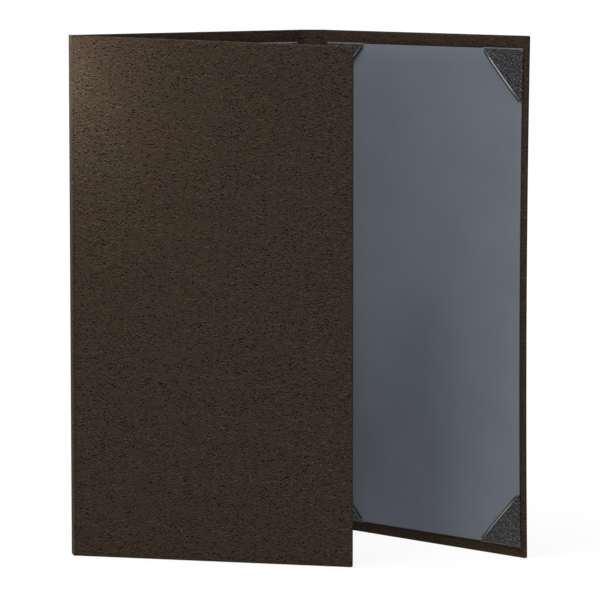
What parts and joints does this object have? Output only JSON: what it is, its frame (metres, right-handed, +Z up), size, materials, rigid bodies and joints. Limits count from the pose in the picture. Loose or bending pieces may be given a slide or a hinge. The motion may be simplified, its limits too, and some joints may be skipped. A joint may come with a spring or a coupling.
{
  "type": "menu cover",
  "caption": "Hinged folding menu cover in wrapped book cloth, standing half open, with corner pockets on its inner liners that hold menu sheets.",
  "frame": {"origin": "middle of the centre panel's bottom edge, half way through its wrapped thickness", "axes": "+X along the centre panel towards the right panel, +Y out of the centre panel's outer cloth face, +Z up"},
  "size_m": [0.198, 0.1736, 0.295],
  "materials": {
    "cover_cloth": "dark brown linen-weave book cloth",
    "board": "grey board",
    "liner": "matt blue-grey grained sheet",
    "pocket": "black grained leatherette"
  },
  "bodies": {
    "centre_panel": {"centre_cover_cloth": "cover_cloth", "centre_board": "board", "centre_liner": "liner", "centre_pocket_bottom_left": "pocket", "centre_pocket_top_left": "pocket", "centre_pocket_bottom_right": "pocket", "centre_pocket_top_right": "pocket"},
    "spine_strip": {"spine_cloth": "cover_cloth", "spine_lining": "cover_cloth"},
    "right_panel": {"right_cover_cloth": "cover_cloth", "right_board": "board", "right_liner": "liner", "right_pocket_bottom_left": "pocket", "right_pocket_top_left": "pocket", "right_pocket_bottom_right": "pocket", "right_pocket_top_right": "pocket"},
    "flap_strip": {"flap_hinge_cloth": "cover_cloth", "flap_hinge_lining": "cover_cloth"},
    "left_panel": {"left_cover_cloth": "cover_cloth", "left_board": "board", "left_liner": "liner", "left_pocket_bottom_left": "pocket", "left_pocket_top_left": "pocket", "left_pocket_bottom_right": "pocket", "left_pocket_top_right": "pocket"}
  },
  "joints": [
    {"name": "spine_fold", "type": "hinge", "parent": "centre_panel", "child": "spine_strip", "pos_m": [0.0823, 0.00082, 0], "axis": [0, 0, -1], "range_deg": [-132, 16]},
    {"name": "spine_fold_outer", "type": "hinge", "parent": "spine_strip", "child": "right_panel", "pos_m": [0.09345, -0.00921, 0], "axis": [0, 0, -1], "range_deg": [-138, 22]},
    {"name": "flap_fold", "type": "hinge", "parent": "centre_panel", "child": "flap_strip", "pos_m": [-0.0823, 0.00082, 0], "axis": [0, 0, 1], "range_deg": [-154, 26]},
    {"name": "flap_fold_outer", "type": "hinge", "parent": "flap_strip", "child": "left_panel", "pos_m": [-0.0866, -0.00798, 0], "axis": [0, 0, 1], "range_deg": [-160, 32]}
  ],
  "couplings": [
    {"joint": "spine_fold_outer", "follows": "spine_fold", "ratio": 1},
    {"joint": "flap_fold_outer", "follows": "flap_fold", "ratio": 1}
  ]
}
